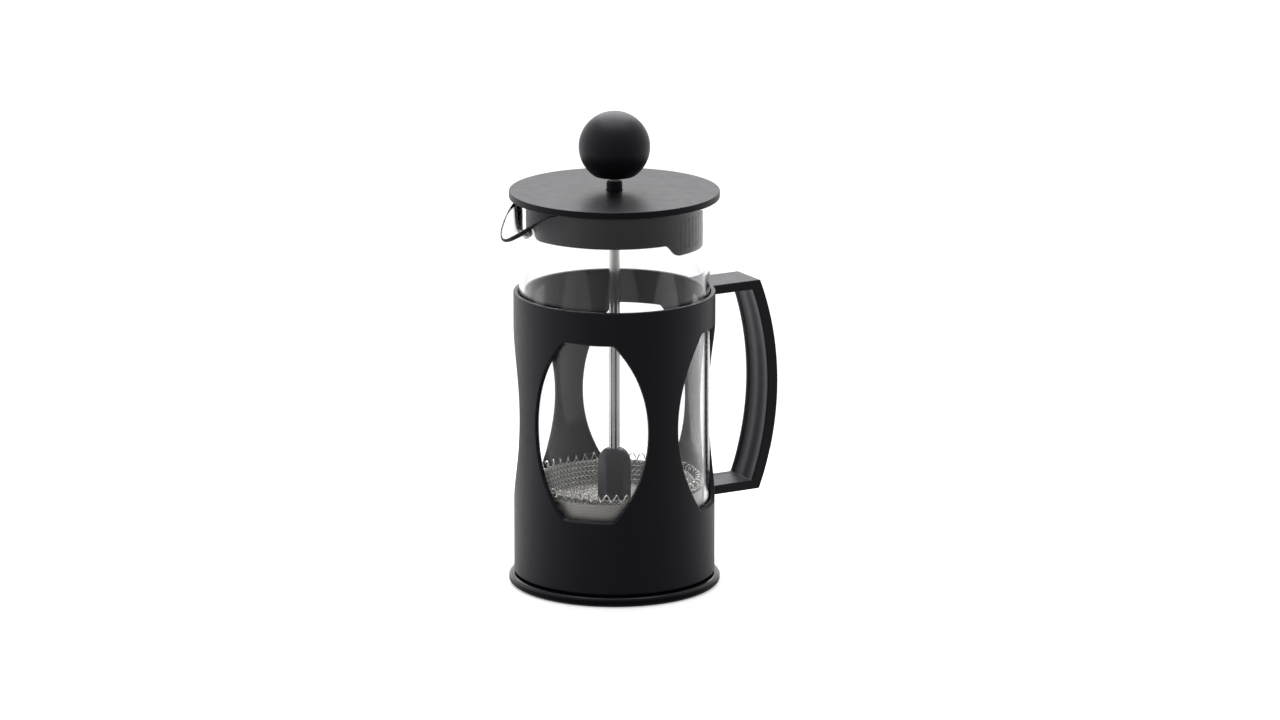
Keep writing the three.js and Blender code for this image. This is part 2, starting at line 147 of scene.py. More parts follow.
def lathe(bm, profile, segments=ROUND_SEGMENTS, closed=False):
    """Revolves a profile of (radius, height) about Z.

    A closed profile makes a ring. An open one ends on the axis, or makes a sheet."""
    rings = []
    for radius, z in profile:
        if radius < WELD:
            rings.append([bm.verts.new((0, 0, z))] * segments)
            continue
        angles = [TURN * i / segments for i in range(segments)]
        rings.append([bm.verts.new((radius * math.cos(a), radius * math.sin(a), z)) for a in angles])
    pairs = list(zip(rings, rings[1:]))
    if closed:
        pairs.append((rings[-1], rings[0]))
    for low, high in pairs:
        for i in range(segments):
            j = (i + 1) % segments
            add_face(bm, low[i], low[j], high[j], high[i])


def quad(bm, *points):
    """Adds a four-sided face of its own; equal corners are welded when the piece is made."""
    bm.faces.new([bm.verts.new(p) for p in points])


def make_piece(name, bm, body, material, nodes=(), sharp=40):
    """Turns a bmesh into a smooth-shaded piece that rides on body and stands for the CAD nodes."""
    bmesh.ops.remove_doubles(bm, verts=bm.verts, dist=WELD)
    bmesh.ops.dissolve_degenerate(bm, edges=bm.edges, dist=WELD)
    bmesh.ops.recalc_face_normals(bm, faces=bm.faces)
    mesh = bpy.data.meshes.new(name)
    bm.to_mesh(mesh)
    bm.free()
    mesh.shade_smooth()
    mesh.set_sharp_from_angle(angle=math.radians(sharp))
    return place(name, mesh, body, material, nodes)


def place(name, mesh, body, material, nodes):
    """Adds a finished mesh to the scene as a piece of the object."""
    mesh.materials.clear()
    mesh.materials.append(material)
    piece = bpy.data.objects.new(name, mesh)
    scene.collection.objects.link(piece)
    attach(piece, body)
    if nodes:
        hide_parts(*nodes)
    return piece


def turned_piece(name, corners, body, material, nodes,
                 closed=True, segments=ROUND_SEGMENTS, steps=4):
    """A round piece from the rounded corners of its profile."""
    bm = bmesh.new()
    lathe(bm, rounded(corners, steps, closed), segments, closed)
    return make_piece(name, bm, body, material, nodes)


def flat_plate(name, outlines, low_z, high_z, edge, body, material, nodes):
    """A plate with holes, cut from closed outlines of (x, y), with softly rounded edges."""
    curve = bpy.data.curves.new(name, "CURVE")
    curve.dimensions = "2D"
    curve.fill_mode = "BOTH"
    curve.extrude = (high_z - low_z) / 2 - edge
    curve.bevel_depth = edge
    curve.bevel_resolution = 2
    curve.offset = -edge
    for outline in outlines:
        spline = curve.splines.new("POLY")
        spline.points.add(len(outline) - 1)
        for point, (x, y) in zip(spline.points, outline):
            point.co = (x, y, 0, 1)
        spline.use_cyclic_u = True
    drawn = bpy.data.objects.new(name + ".outline", curve)
    mesh = bpy.data.meshes.new_from_object(drawn)
    bpy.data.objects.remove(drawn)
    bm = bmesh.new()
    bm.from_mesh(mesh)
    bpy.data.meshes.remove(mesh)
    bmesh.ops.translate(bm, verts=bm.verts, vec=(0, 0, (low_z + high_z) / 2))
    return make_piece(name, bm, body, material, nodes, sharp=30)


def ring_section(inner, outer, low_z, high_z):
    """Corners of a plain ring's section, with soft edges."""
    return [(inner, low_z, SOFT_EDGE), (outer, low_z, SOFT_EDGE),
            (outer, high_z, SOFT_EDGE), (inner, high_z, SOFT_EDGE)]


def circle(radius, segments):
    """A closed outline round the axis."""
    return arc((0, 0), radius, 0, TURN, segments)[:-1]


# ---------------- materials

WHITE = (1, 1, 1, 1)
# Plastic this dark shines a little blue under the studio's white.
PLASTIC_SHINE = (0.86, 0.86, 1.0, 1)
# Darkest and lightest colour of each material.
SATIN_TINTS = (0.0045, 0.0045, 0.006), (0.007, 0.007, 0.009)
GLOSS_TINTS = (0.003, 0.003, 0.004), (0.005, 0.005, 0.006)
NYLON_TINTS = (0.10, 0.10, 0.108), (0.125, 0.125, 0.134)
DRAWN_TINTS = (0.76, 0.745, 0.71), (0.86, 0.845, 0.81)
SHEET_TINTS = (0.48, 0.465, 0.44), (0.62, 0.605, 0.58)
WIRE_TINTS = (0.80, 0.765, 0.70), (0.92, 0.89, 0.83)
BRASS_TINTS = (0.55, 0.40, 0.17), (0.68, 0.52, 0.26)
GLASS_TINT = (0.985, 0.985, 0.995, 1)
GLASS_IOR = 1.47
WIRES_PER_METRE = 5200
WEAVE_SHADOW = (0.45, 0.45, 0.45)
PAPER_COLOUR = (0.9, 0.9, 0.9, 1)


class Nodes:
    """A short way to write the node tree of a material or a world."""

    def __init__(self, owner):
        owner.use_nodes = True
        self.owner = owner
        self.tree = owner.node_tree
        self.coordinates = self.add("ShaderNodeTexCoord").outputs

    @property
    def shader(self):
        """The material's shader, which a world doesn't have."""
        return self.tree.nodes["Principled BSDF"]

    def add(self, kind, inputs=None, **settings):
        """Adds a node with its settings, and a value or a link for each input."""
        node = self.tree.nodes.new(kind)
        for key, value in settings.items():
            setattr(node, key, value)
        for key, value in (inputs or {}).items():
            self.set(node.inputs[key], value)
        return node

    def set(self, socket, value):
        """Links a socket to another, or gives it a constant."""
        if isinstance(value, bpy.types.NodeSocket):
            self.tree.links.new(value, socket)
        else:
            socket.default_value = value

    def shade(self, **values):
        """Sets the shader's sockets, with _ for each space in their names."""
        for key, value in values.items():
            self.set(self.shader.inputs[key.replace("_", " ")], value)

    def noise(self, per_metre, detail=3.0, stretch=(1, 1, 1)):
        """Noise that lies still on the object. A stretch below 1 draws it out along that axis."""
        mapping = self.add("ShaderNodeMapping", {"Vector": self.coordinates["Object"], "Scale": stretch})
        inputs = {"Vector": mapping.outputs[0], "Scale": per_metre, "Detail": detail}
        return self.add("ShaderNodeTexNoise", inputs).outputs["Fac"]

    def spread(self, value, low, high, start=0.3, end=0.7):
        """Maps start..end of a value to low..high."""
        inputs = {"Value": value, "From Min": start, "From Max": end, "To Min": low, "To Max": high}
        return self.add("ShaderNodeMapRange", inputs).outputs["Result"]

    def tint(self, value, dark, light):
        """Mixes two colours by a value from 0 to 1."""
        mix = self.add("ShaderNodeMix", data_type="RGBA")
        self.set(mix.inputs["Factor"], value)
        self.set(mix.inputs["A"], (*dark, 1))
        self.set(mix.inputs["B"], (*light, 1))
        return mix.outputs["Result"]

    def bump(self, height, depth, strength, under=None):
        """Relief of a depth in metres, on top of another if one is under it."""
        inputs = {"Height": height, "Distance": depth, "Strength": strength}
        if under is not None:
            inputs["Normal"] = under
        return self.add("ShaderNodeBump", inputs).outputs["Normal"]

    def math(self, operation, a, b=0.0):
        """One calculation with one or two values."""
        node = self.add("ShaderNodeMath", operation=operation)
        self.set(node.inputs[0], a)
        self.set(node.inputs[1], b)
        return node.outputs[0]


def new_material(name):
    """Nodes of a new material."""
    return Nodes(bpy.data.materials.new(name))


def moulded_plastic(name, tints, roughness, grain, specular):
    """Injection-moulded plastic: fine grain, soft flow marks and a little unevenness in its shine."""
    n = new_material(name)
    flow = n.noise(per_metre=60, detail=4, stretch=(1, 1, 0.4))
    smears = n.noise(per_metre=260, detail=5)
    pores = n.noise(per_metre=9000, detail=2)
    sink = n.noise(per_metre=70, detail=1)
    n.shade(Base_Color=n.tint(n.spread(flow, 0, 1), *tints))
    n.shade(Roughness=n.spread(smears, roughness - 0.02, roughness + 0.03))
    grained = n.bump(pores, depth=0.012 * MM, strength=grain)
    n.shade(Normal=n.bump(sink, depth=0.02 * MM, strength=0.08, under=grained))
    n.shade(Specular_IOR_Level=specular, Specular_Tint=PLASTIC_SHINE)
    return n.owner


def clear_glass():
    """Fire-polished glass, with the faint waves that drawing leaves."""
    n = new_material("clear_glass")
    waves = n.noise(per_metre=55, detail=1, stretch=(1, 1, 0.25))
    haze = n.noise(per_metre=300, detail=4)
    n.shade(Base_Color=GLASS_TINT, Transmission_Weight=1.0, IOR=GLASS_IOR)
    n.shade(Roughness=n.spread(haze, 0.0, 0.012))
    n.shade(Normal=n.bump(waves, depth=0.02 * MM, strength=0.25))
    return n.owner


def polished_steel(name, roughness):
    """Drawn stainless steel with faint lines along its length."""
    n = new_material(name)
    lines = n.noise(per_metre=5000, detail=2, stretch=(1, 1, 0.02))
    stain = n.spread(n.noise(per_metre=120), 0, 1)
    n.shade(Base_Color=n.tint(stain, *DRAWN_TINTS))
    n.shade(Metallic=1.0, Roughness=n.spread(lines, roughness - 0.05, roughness + 0.06))
    n.shade(Normal=n.bump(lines, depth=0.003 * MM, strength=0.3))
    return n.owner


def stamped_steel():
    """Rolled sheet with a brushed lay and light scuffs."""
    n = new_material("stamped_steel")
    lay = n.noise(per_metre=2600, detail=3, stretch=(0.06, 1, 1))
    scuffs = n.spread(n.noise(per_metre=420, detail=6), 0, 1, start=0.45, end=0.75)
    n.shade(Base_Color=n.tint(scuffs, *SHEET_TINTS))
    n.shade(Metallic=1.0, Roughness=n.spread(lay, 0.26, 0.4))
    n.shade(Normal=n.bump(lay, depth=0.004 * MM, strength=0.5))
    return n.owner


def woven_steel():
    """Fine wire cloth: warp and weft cross over and under each other."""
    n = new_material("woven_steel")
    scaling = {"Vector": n.coordinates["Object"], "Scale": WIRES_PER_METRE}
    scaled = n.add("ShaderNodeVectorMath", scaling, operation="SCALE")
    split = n.add("ShaderNodeSeparateXYZ", {"Vector": scaled.outputs[0]}).outputs
    warp = n.math("SINE", split["X"])
    weft = n.math("SINE", n.math("ADD", split["Y"], split["Z"]))
    weave = n.spread(n.math("MULTIPLY", warp, weft), 0, 1, start=-1, end=1)
    stain = n.spread(n.noise(per_metre=130, detail=4), 0, 1)
    steel = n.tint(stain, *WIRE_TINTS)
    shadow = n.tint(weave, WEAVE_SHADOW, WHITE[:3])
    shaded = n.add("ShaderNodeMix", {"Factor": 0.5, "A": steel, "B": shadow},
                   data_type="RGBA", blend_type="MULTIPLY")
    n.shade(Base_Color=shaded.outputs["Result"], Metallic=0.8, Roughness=0.5)
    n.shade(Normal=n.bump(weave, depth=0.04 * MM, strength=0.5))
    return n.owner


def turned_brass():
    """Lathe-turned brass with fine tool rings."""
    n = new_material("turned_brass")
    rings = n.noise(per_metre=3000, detail=2, stretch=(0.05, 0.05, 1))
    n.shade(Base_Color=n.tint(n.spread(rings, 0, 1), *BRASS_TINTS))
    n.shade(Metallic=1.0, Roughness=n.spread(rings, 0.25, 0.4))
    n.shade(Normal=n.bump(rings, depth=0.01 * MM, strength=0.5))
    return n.owner


satin_black = moulded_plastic("satin_black", SATIN_TINTS, roughness=0.42, grain=0.2, specular=0.32)
lid_black = moulded_plastic("lid_black", SATIN_TINTS, roughness=0.42, grain=0.15, specular=0.2)
gloss_black = moulded_plastic("gloss_black", GLOSS_TINTS, roughness=0.14, grain=0.04, specular=0.3)
nylon_grey = moulded_plastic("nylon_grey", NYLON_TINTS, roughness=0.42, grain=0.3, specular=0.5)
glass = clear_glass()
bright_steel = polished_steel("bright_steel", roughness=0.14)
spring_steel = polished_steel("spring_steel", roughness=0.2)
plate_steel = stamped_steel()
mesh_steel = woven_steel()
brass = turned_brass()


# ---------------- frame

WALL = 1.7 * MM
WINDOW_LOW_Z = 31 * MM
WINDOW_HIGH_Z = 98 * MM
WINDOW_FLAT = 9.5 * MM
WINDOW_BELLY = 22.9 * MM
# The window's ends slope: its height grows by this share of itself for each metre outwards.
WINDOW_DRAFT = 17.6
WINDOW_CORNER = 2.2 * MM
WINDOW_EDGE = 0.35 * MM
WINDOW_COUNT = 4
RIM_EDGE = 0.4 * MM
# A row of points that keeps the wall flat stands this many edge radii away from an edge.
HOLD = 2.2
BOW_STEPS = 22
WINDOW_CORNER_STEPS = 5
WINDOW_FLAT_STEPS = 6
POST_STEPS = 10


def half_window(side):
    """Half of a window's outline, from the widest point on its right over one end to its left.

    side is 1 for the upper half and -1 for the lower. Points are (across, up from the middle)."""
    half_height = (WINDOW_HIGH_Z - WINDOW_LOW_Z) / 2
    bulge = WINDOW_BELLY - WINDOW_FLAT
    radius = (half_height ** 2 + bulge ** 2) / (2 * bulge)
    sweep = math.asin(half_height / radius)
    bow = arc((WINDOW_BELLY - radius, 0), radius, 0, sweep, BOW_STEPS)
    corner = fillet(bow[-2], bow[-1], (0, half_height), WINDOW_CORNER, WINDOW_CORNER_STEPS, 0)
    right = bow[:-1] + corner + line(corner[-1], (0, half_height), WINDOW_FLAT_STEPS)[1:]
    left = [(-x, y) for x, y in reversed(right)]
    return [(x, side * y) for x, y in right + [(0, half_height)] + left]


def pushed_out(outline, distance, side):
    """An outline moved away from the window's middle along its own normals."""
    moved = []
    last = len(outline) - 1
    for i, point in enumerate(outline):
        if i in (0, last):
            normal = Vector((1 if i == 0 else -1, 0))
        else:
            along = Vector(outline[i + 1]) - Vector(outline[i - 1])
            normal = Vector((along.y, -along.x)).normalized() * side
        moved.append(tuple(Vector(point) + normal * distance))
    return moved


def edge_levels(outer_radius, inner_radius):
    """How a window's edge rounds over, as (distance outside the outline, radius), from outside to inside."""
    e = WINDOW_EDGE
    steps = 4
    over = [(e - e * math.sin(a), outer_radius - e + e * math.cos(a))
            for a in (math.pi / 2 * i / steps for i in range(steps + 1))]
    under = [(offset, outer_radius + inner_radius - radius) for offset, radius in reversed(over)]
    return [(HOLD * e, outer_radius), *over, *under, (HOLD * e, inner_radius)]


def rim_section(end_z, inward, outer_radius, inner_radius):
    """Section over the frame's top or bottom edge, as (radius, height), from outside to inside."""
    near = end_z + inward * HOLD * RIM_EDGE
    corners = [(outer_radius, near, 0), (outer_radius, end_z, RIM_EDGE),
               (inner_radius, end_z, RIM_EDGE), (inner_radius, near, 0)]
    return rounded(corners, 4, hold_share=0)


def window_edge(bm, at, levels):
    """Faces that round a window's edge over, from each level to the next."""
    for upper, lower in zip(levels, levels[1:]):
        for i in range(len(upper) - 1):
            quad(bm, at(*upper[i]), at(*upper[i + 1]), at(*lower[i + 1]), at(*lower[i]))


def wall_columns(outside, inside, middle_z, half_sector):
    """Where the wall starts over the window and its posts, as (across, height outside, height inside)."""
    window = [(x, z_out, z_in) for (x, z_out, _), (_, z_in, _) in zip(outside, inside)]
    window_side = outside[0][0]
    post = spaced(window_side, half_sector, POST_STEPS)[1:] + [half_sector]
    right = [(x, middle_z, middle_z) for x in reversed(post)]
    left = [(-x, middle_z, middle_z) for x in post]
    return right + window + left


def wall(bm, at, columns, section):
    """Outside, inside and end of the wall, from the window to the frame's top or bottom edge."""
    (outer_radius, z_out), (inner_radius, z_in) = section[0], section[-1]
    for (xa, outer_a, inner_a), (xb, outer_b, inner_b) in zip(columns, columns[1:]):
        quad(bm, at(xa, outer_a, outer_radius), at(xb, outer_b, outer_radius),
             at(xb, z_out, outer_radius), at(xa, z_out, outer_radius))
        quad(bm, at(xa, inner_a, inner_radius), at(xb, inner_b, inner_radius),
             at(xb, z_in, inner_radius), at(xa, z_in, inner_radius))
        for (r0, z0), (r1, z1) in zip(section, section[1:]):
            quad(bm, at(xa, z0, r0), at(xb, z0, r0), at(xb, z1, r1), at(xa, z1, r1))


def frame_sector(bm, centre_angle, outer_radius, inner_radius, low_z, high_z):
    """One window with the half posts beside it, as one sector of the cage's wall."""
    middle_z = (WINDOW_LOW_Z + WINDOW_HIGH_Z) / 2
    half_sector = outer_radius * math.pi / WINDOW_COUNT

    def at(across, z, radius):
        angle = centre_angle + across / outer_radius
        return (radius * math.cos(angle), radius * math.sin(angle), z)

    def level(side, offset, radius):
        """Half of the window's outline at one level of its edge, as (across, height, radius)."""
        draft = 1 + WINDOW_DRAFT * (radius - outer_radius)
        return [(x, middle_z + y * draft, radius) for x, y in pushed_out(half_window(side), offset, side)]

    for side, end_z in ((1, high_z), (-1, low_z)):
        levels = [level(side, offset, radius) for offset, radius in edge_levels(outer_radius, inner_radius)]
        window_edge(bm, at, levels)
        columns = wall_columns(levels[0], levels[-1], middle_z, half_sector)
        wall(bm, at, columns, rim_section(end_z, -side, outer_radius, inner_radius))


def make_frame():
    """The cage: four sectors that share their edges."""
    outer = radius_of("frame")
    low_z, high_z = heights_of("frame")
    bm = bmesh.new()
    for i in range(WINDOW_COUNT):
        angle = TURN * (i + 0.5) / WINDOW_COUNT
        frame_sector(bm, angle, outer, outer - WALL, low_z, high_z)
    make_piece("frame_cage", bm, "jug", satin_black, ["frame"])


# ---------------- handle

HANDLE_CORNER_X = 57.4 * MM
HANDLE_BAND = 4.3 * MM
# The handle's two bars are this share as thick as its bow.
BAR_SHARE = 0.82
GROOVE_DEPTH = 1.1 * MM
GROOVE_RIM = 1.5 * MM
RIB_HEIGHT = 0.75 * MM
HANDLE_CORNER = 0.9 * MM
HANDLE_EDGE = 0.45 * MM
HANDLE_ROOT_GAP = 0.05 * MM
# A low power makes the groove's sides steep, and a high one makes the rib narrow.
GROOVE_POWER = 0.5
RIB_POWER = 4
GROOVE_STEPS = 24
HANDLE_BOW_STEPS = 40
HANDLE_BAR_STEPS = 6
HANDLE_CORNER_STEPS = 4


def handle_section(width):
    """Closed section of the strap as (across, depth in from its outside), with a low rib in a groove."""
    w, band, edge = width / 2, HANDLE_BAND, HANDLE_EDGE
    crest = w - GROOVE_RIM
    back = [(-w, band / 2, 0), (-w, 0, edge), (w, 0, edge), (w, band, edge), (crest, band, 0)]
    side = [(-crest, band, 0), (-w, band, edge), (-w, band / 2, 0)]
    groove = []
    for i in range(1, GROOVE_STEPS):
        t = i / GROOVE_STEPS
        sunk = GROOVE_DEPTH * math.sin(math.pi * t) ** GROOVE_POWER
        rib = RIB_HEIGHT * math.sin(math.pi * t) ** RIB_POWER
        groove.append((crest * (1 - 2 * t), band - sunk + rib))
    return rounded(back, hold_share=0.25) + groove + rounded(side, hold_share=0.25)[:-1]


def handle_line(depth, start_x, low_z, high_z, reach):
    """The strap's line at one depth, as (x, z), from the frame over the top to the frame below."""
    middle_z, half = (low_z + high_z) / 2, (high_z - low_z) / 2
    bulge = reach - HANDLE_CORNER_X
    radius = (half ** 2 + bulge ** 2) / (2 * bulge)
    centre_x = reach - radius
    bar_depth = depth * BAR_SHARE
    sweep = math.asin((half - bar_depth) / (radius - depth))
    bow = arc((centre_x, middle_z), radius - depth, sweep, -sweep, HANDLE_BOW_STEPS)
    top, bottom = (start_x, high_z - bar_depth), (start_x, low_z + bar_depth)
    # Each rounded corner takes the place of the two points at its end of the bow.
    first = fillet(top, bow[0], bow[2], HANDLE_CORNER, HANDLE_CORNER_STEPS, 0)
    last = fillet(bow[-3], bow[-1], bottom, HANDLE_CORNER, HANDLE_CORNER_STEPS, 0)
    upper_bar = line(top, first[0], HANDLE_BAR_STEPS)
    lower_bar = line(last[-1], bottom, HANDLE_BAR_STEPS)[1:] + [bottom]
    return upper_bar + first + bow[2:-2] + last + lower_bar


def make_handle():
    """D-shaped strap: one line of points along the D for each point of its section."""
    low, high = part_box("handle")
    root_radius = radius_of("frame") + HANDLE_ROOT_GAP
    bm = bmesh.new()
    strands = []
    for across, depth in handle_section(high.y - low.y):
        start_x = math.sqrt(root_radius ** 2 - across ** 2)
        points = handle_line(depth, start_x, low.z, high.z, high.x)
        strands.append([bm.verts.new((x, across, z)) for x, z in points])
    for a, b in zip(strands, strands[1:] + strands[:1]):
        for i in range(len(a) - 1):
            add_face(bm, a[i], a[i + 1], b[i + 1], b[i])
    for end in (0, -1):
        bm.faces.new([strand[end] for strand in strands])
    make_piece("handle_strap", bm, "jug", satin_black, ["handle"], sharp=50)


# ---------------- base

SPIGOT_WALL = 0.9 * MM
BASE_FLANGE = 3.7 * MM
BASE_ROLL = BASE_FLANGE / 2 * 0.98


def make_base():
    """Base with a rolled flange and a spigot that stands inside the frame, round the glass."""
    outer = radius_of("base_cap")
    _, top = heights_of("base_cap")
    spigot = radius_of("frame") - WALL - FASTENED_GAP
    floor = heights_of("glass_beaker")[0] - FASTENED_GAP
    corners = [(0, 0, 0), (outer, 0, BASE_ROLL), (outer, BASE_FLANGE, BASE_ROLL),
               (spigot, BASE_FLANGE, CRISP_EDGE), (spigot, top, SOFT_EDGE),
               (spigot - SPIGOT_WALL, top, SOFT_EDGE), (spigot - SPIGOT_WALL, floor, SOFT_EDGE),
               (0, floor, 0)]
    turned_piece("base_flange", corners, "jug", gloss_black, ["base_cap"],
                 closed=False, steps=8)


# ---------------- glass

GLASS_R = 35 * MM
GLASS_WALL = 1.8 * MM
GLASS_FLOOR = 2.2 * MM
# The underside is hollow and the floor inside is domed, each with a shoulder part of the way out.
FLOOR_SHOULDER_SHARE = 0.8
UNDERSIDE_MIDDLE = 0.5 * MM
UNDERSIDE_SHOULDER = 0.3 * MM
FLOOR_MIDDLE = GLASS_FLOOR * 1.15
FLOOR_SHOULDER = GLASS_FLOOR * 1.05
HEEL_R = 7 * MM
RIM_FLARE = 0.45 * MM
FLARE_HEIGHT = 8 * MM
THROAT_HEIGHT = 17.6 * MM
SPOUT_HALF_ANGLE = math.radians(38)
SPOUT_DROP = 10.9 * MM
SPOUT_REACH = 12.38 * MM
REACH_POWER = 3.6
DROP_POWER = 6
UNDERSIDE_STEPS = 3
HEEL_STEPS = 12
SIDE_STEPS = 12
THROAT_STEPS = 26
RIM_STEPS = 8


def smooth_step(t):
    """0 up to 0, 1 from 1, and an S-curve between."""
    t = min(max(t, 0), 1)
    return t * t * (3 - 2 * t)


def glass_profile(low_z, rim_z):
    """Outside, rim and inside of the straight beaker as (radius, height)."""
    inner = GLASS_R - GLASS_WALL
    roll = GLASS_WALL / 2
    heel_x = GLASS_R - HEEL_R
    heel_z = low_z + HEEL_R
    quarter = math.pi / 2
    throat_z = rim_z - THROAT_HEIGHT

    def flare(z):
        return RIM_FLARE * smooth_step((z - rim_z + FLARE_HEIGHT) / FLARE_HEIGHT)

    heights = spaced(throat_z, rim_z - roll, THROAT_STEPS)
    shoulder_x = heel_x * FLOOR_SHOULDER_SHARE
    outside = [(0, low_z + UNDERSIDE_MIDDLE)]
    outside += line((shoulder_x, low_z + UNDERSIDE_SHOULDER), (heel_x, low_z), UNDERSIDE_STEPS)
    outside += arc((heel_x, heel_z), HEEL_R, -quarter, 0, HEEL_STEPS)
    outside += line((GLASS_R, heel_z), (GLASS_R, throat_z), SIDE_STEPS)[1:]
    outside += [(GLASS_R + flare(z), z) for z in heights]
    rim = arc((GLASS_R + RIM_FLARE - roll, rim_z - roll), roll, 0, math.pi, RIM_STEPS)
    inside = [(inner + flare(z), z) for z in reversed(heights)]
    inside += line((inner, throat_z), (inner, heel_z), SIDE_STEPS)[1:]
    inside += arc((heel_x, heel_z), HEEL_R - GLASS_WALL, 0, -quarter, HEEL_STEPS)
    inside += [(shoulder_x, low_z + FLOOR_SHOULDER), (0, low_z + FLOOR_MIDDLE)]
    return outside + rim + inside


def drawn_out(radius, z, angle_from_spout, rim_z):
    """Moves one point of the straight beaker to its place on the spout.

    The wall's middle line moves out and down, and the point stays square to it."""
    s = (z - rim_z + THROAT_HEIGHT) / THROAT_HEIGHT
    if s <= 0 or abs(angle_from_spout) >= SPOUT_HALF_ANGLE:
        return radius, z
    nearness = math.cos(math.pi / 2 * angle_from_spout / SPOUT_HALF_ANGLE)
    middle = GLASS_R - GLASS_WALL / 2
    outward = SPOUT_REACH * nearness ** REACH_POWER * s ** 2
    down = SPOUT_DROP * nearness ** DROP_POWER * s ** 3
    tangent = Vector((2 * outward / s, THROAT_HEIGHT - 3 * down / s)).normalized()
    offset = radius - middle
    return middle + outward + tangent.y * offset, z - down - tangent.x * offset


def make_glass():
    """Beaker with a rolled rim, turned in fine columns, and then drawn out to a drooping spout."""
    low_z, _ = heights_of("glass_beaker")
    rim_z = heights_of("lid_cover")[0] - FASTENED_GAP
    bm = bmesh.new()
    lathe(bm, glass_profile(low_z, rim_z), 2 * ROUND_SEGMENTS)
    for v in bm.verts:
        angle = math.atan2(v.co.y, -v.co.x)
        radius, z = drawn_out(math.hypot(v.co.x, v.co.y), v.co.z, angle, rim_z)
        v.co = (-radius * math.cos(angle), radius * math.sin(angle), z)
    make_piece("glass_body", bm, "beaker", glass, ["glass_beaker"], sharp=80)


# ---------------- lid

LID_HOLE = 3.1 * MM
SKIRT_WALL = 1.5 * MM
SKIRT_WEB = 1.2 * MM
SKIRT_LOW_Z = 132.4 * MM
TAB_CENTRE = math.radians(-40)
TAB_HALF_WIDTH = 25.5 * MM
TAB_RAMP = 6.3 * MM
SLOT_COUNT = 21
SLOT_PITCH = math.radians(4.1)
SLOT_WIDTH = 1.0 * MM
SLOT_LOW_Z = 130 * MM
SLOT_HIGH_Z = 141.6 * MM
SKIRT_EDGE = 0.25 * MM
# A bevel that stands in for a rounded edge has its middle point at this share of the edge's radius.
BEVEL_SHARE = 0.3
RAMP_COLUMNS = 12
PLAIN_COLUMNS = 80
BUSH_BORE = 2.15 * MM
BUSH_NECK = 2.9 * MM
BUSH_FLANGE = 1.5 * MM
BUSH_EDGE = 0.25 * MM
BUSH_TOP_EDGE = 0.35 * MM


def make_lid():
    """Flat disc with slightly broken edges."""
    corners = ring_section(LID_HOLE, radius_of("lid_cover"), *heights_of("lid_cover"))
    turned_piece("lid_disc", corners, "lid", lid_black, ["lid_cover"])


def skirt_edge(across, low_z):
    """Height of the skirt's lower edge at a distance round from the tab's middle."""
    away = TAB_HALF_WIDTH - abs(across)
    return SKIRT_LOW_Z + (low_z - SKIRT_LOW_Z) * smooth_step(away / TAB_RAMP)


def skirt_columns():
    """Angles of the skirt's columns from the tab's middle, each with whether a slot opens after it."""
    radius = radius_of("lid_strainer")
    edge = TAB_HALF_WIDTH / radius
    ramp = TAB_RAMP / radius
    half_slot = SLOT_WIDTH / 2 / radius
    middles = [(i - (SLOT_COUNT - 1) / 2) * SLOT_PITCH for i in range(SLOT_COUNT)]
    slots = [m for m in middles if abs(m) + half_slot < edge - ramp / 2]
    opens = [(m - half_slot, True) for m in slots]
    closes = [(m + half_slot, False) for m in slots]
    outer_end = slots[-1] + half_slot
    ramp_angles = [outer_end + (edge - outer_end) * i / RAMP_COLUMNS for i in range(1, RAMP_COLUMNS + 1)]
    ramps = [(side * angle, False) for side in (-1, 1) for angle in ramp_angles]
    plain = [(angle, False) for angle in spaced(edge, TURN - edge, PLAIN_COLUMNS)[1:]]
    return sorted(opens + closes + ramps + plain)


def skirt_sections(angle, slotted, outer, low_z, web_top):
    """The skirt's closed sections as (radius, height): one, or one above and one below a slot."""
    inner = outer - SKIRT_WALL
    web_low = web_top - SKIRT_WEB
    edge, bevel = SKIRT_EDGE, BEVEL_SHARE * SKIRT_EDGE
    foot_z = skirt_edge(angle * outer, low_z)
    slot_z = max(SLOT_LOW_Z, foot_z + 2 * edge)
    foot = [(outer, foot_z + edge), (outer - bevel, foot_z + bevel), (outer - edge, foot_z),
            (inner + edge, foot_z), (inner + bevel, foot_z + bevel), (inner, foot_z + edge)]
    top = [(inner, web_low), (LID_HOLE, web_low), (LID_HOLE, web_top),
           (outer - edge, web_top), (outer - bevel, web_top - bevel), (outer, web_top - edge)]
    above = [(outer, SLOT_HIGH_Z), (inner, SLOT_HIGH_Z)]
    below = [(inner, slot_z), (outer, slot_z)]
    if slotted:
        return [above + top, below + foot]
    return [above[:1] + below[1:] + foot + below[:1] + above[1:] + top]


def make_strainer():
    """Skirt with its web and the slotted tab, column by column round the axis."""
    outer = radius_of("lid_strainer")
    inner = outer - SKIRT_WALL
    low_z, web_top = heights_of("lid_strainer")
    slot_side = [(outer, SLOT_HIGH_Z), (outer, SLOT_LOW_Z), (inner, SLOT_LOW_Z), (inner, SLOT_HIGH_Z)]
    bm = bmesh.new()

    def at(angle, point):
        r, z = point
        return (r * math.cos(TAB_CENTRE + angle), r * math.sin(TAB_CENTRE + angle), z)

    columns = skirt_columns()
    for (a, slotted), (b, _) in zip(columns, columns[1:] + [(columns[0][0] + TURN, False)]):
        near_sections = skirt_sections(a, slotted, outer, low_z, web_top)
        far_sections = skirt_sections(b, slotted, outer, low_z, web_top)
        for near, far in zip(near_sections, far_sections):
            for i in range(len(near)):
                j = (i + 1) % len(near)
                quad(bm, at(a, near[i]), at(a, near[j]), at(b, far[j]), at(b, far[i]))
        if slotted:
            for angle in (a, b):
                quad(bm, *(at(angle, point) for point in slot_side))
    make_piece("strainer_skirt", bm, "lid", satin_black, ["lid_strainer"], sharp=50)


